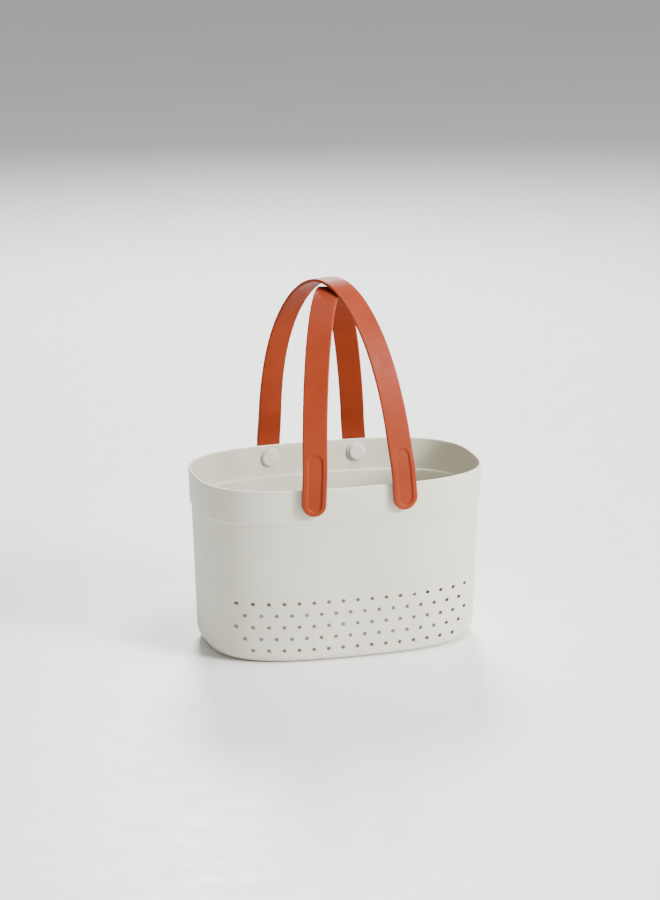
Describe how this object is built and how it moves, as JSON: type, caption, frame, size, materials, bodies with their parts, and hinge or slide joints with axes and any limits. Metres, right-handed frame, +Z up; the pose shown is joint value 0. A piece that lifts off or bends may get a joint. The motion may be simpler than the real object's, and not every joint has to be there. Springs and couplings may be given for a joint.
{
  "type": "shower caddy",
  "caption": "Rounded oblong bathroom basket with perforated lower walls and a raised rim band, carried by two soft strap handles that cross corner to corner and swing on studs.",
  "frame": {"origin": "centre of the overall box, at the underside of the base", "axes": "+Z up, +X along the basket's length, +Y front to back, the front at -Y"},
  "size_m": [0.29, 0.187, 0.3664],
  "materials": {
    "basket": "fine matte moulded",
    "strap": "soft matte",
    "stud": "smooth moulded"
  },
  "bodies": {
    "basket": {"basket_tub": "basket"},
    "outer_front": {"outer_front_leg": "strap", "outer_front_stud": "stud"},
    "outer_top": {"outer_crown": "strap", "outer_front_shoulder": "strap", "outer_back_shoulder": "strap"},
    "outer_back": {"outer_back_leg": "strap", "outer_back_stud": "stud"},
    "inner_front": {"inner_front_leg": "strap", "inner_front_stud": "stud"},
    "inner_top": {"inner_crown": "strap", "inner_front_shoulder": "strap", "inner_back_shoulder": "strap"},
    "inner_back": {"inner_back_leg": "strap", "inner_back_stud": "stud"}
  },
  "joints": [
    {"name": "outer_swing", "type": "hinge", "parent": "basket", "child": "outer_front", "pos_m": [0.046, -0.0901, 0.1645], "axis": [0, 1, 0], "range_deg": [-30, 30], "stiffness_Nm_per_rad": 0.8},
    {"name": "outer_front_bend", "type": "hinge", "parent": "outer_front", "child": "outer_top", "pos_m": [0.042, -0.07, 0.293], "axis": [0, 1, 0], "range_deg": [-30, 30], "deforming": ["outer_front_shoulder"]},
    {"name": "outer_back_bend", "type": "hinge", "parent": "outer_top", "child": "outer_back", "pos_m": [-0.05, 0.07, 0.293], "axis": [0, 1, 0], "range_deg": [-30, 30], "deforming": ["outer_back_shoulder"]},
    {"name": "inner_swing", "type": "hinge", "parent": "basket", "child": "inner_front", "pos_m": [-0.046, -0.0901, 0.1645], "axis": [0, 1, 0], "range_deg": [-30, 30]},
    {"name": "inner_front_bend", "type": "hinge", "parent": "inner_front", "child": "inner_top", "pos_m": [-0.05, -0.07, 0.293], "axis": [0, 1, 0], "range_deg": [-30, 30], "deforming": ["inner_front_shoulder"]},
    {"name": "inner_back_bend", "type": "hinge", "parent": "inner_top", "child": "inner_back", "pos_m": [0.042, 0.07, 0.293], "axis": [0, 1, 0], "range_deg": [-30, 30], "deforming": ["inner_back_shoulder"]}
  ],
  "couplings": [
    {"joint": "outer_front_bend", "follows": "outer_swing", "ratio": -1},
    {"joint": "outer_back_bend", "follows": "outer_swing", "ratio": 1},
    {"joint": "inner_swing", "follows": "outer_swing", "ratio": 1},
    {"joint": "inner_front_bend", "follows": "outer_swing", "ratio": -1},
    {"joint": "inner_back_bend", "follows": "outer_swing", "ratio": 1}
  ]
}
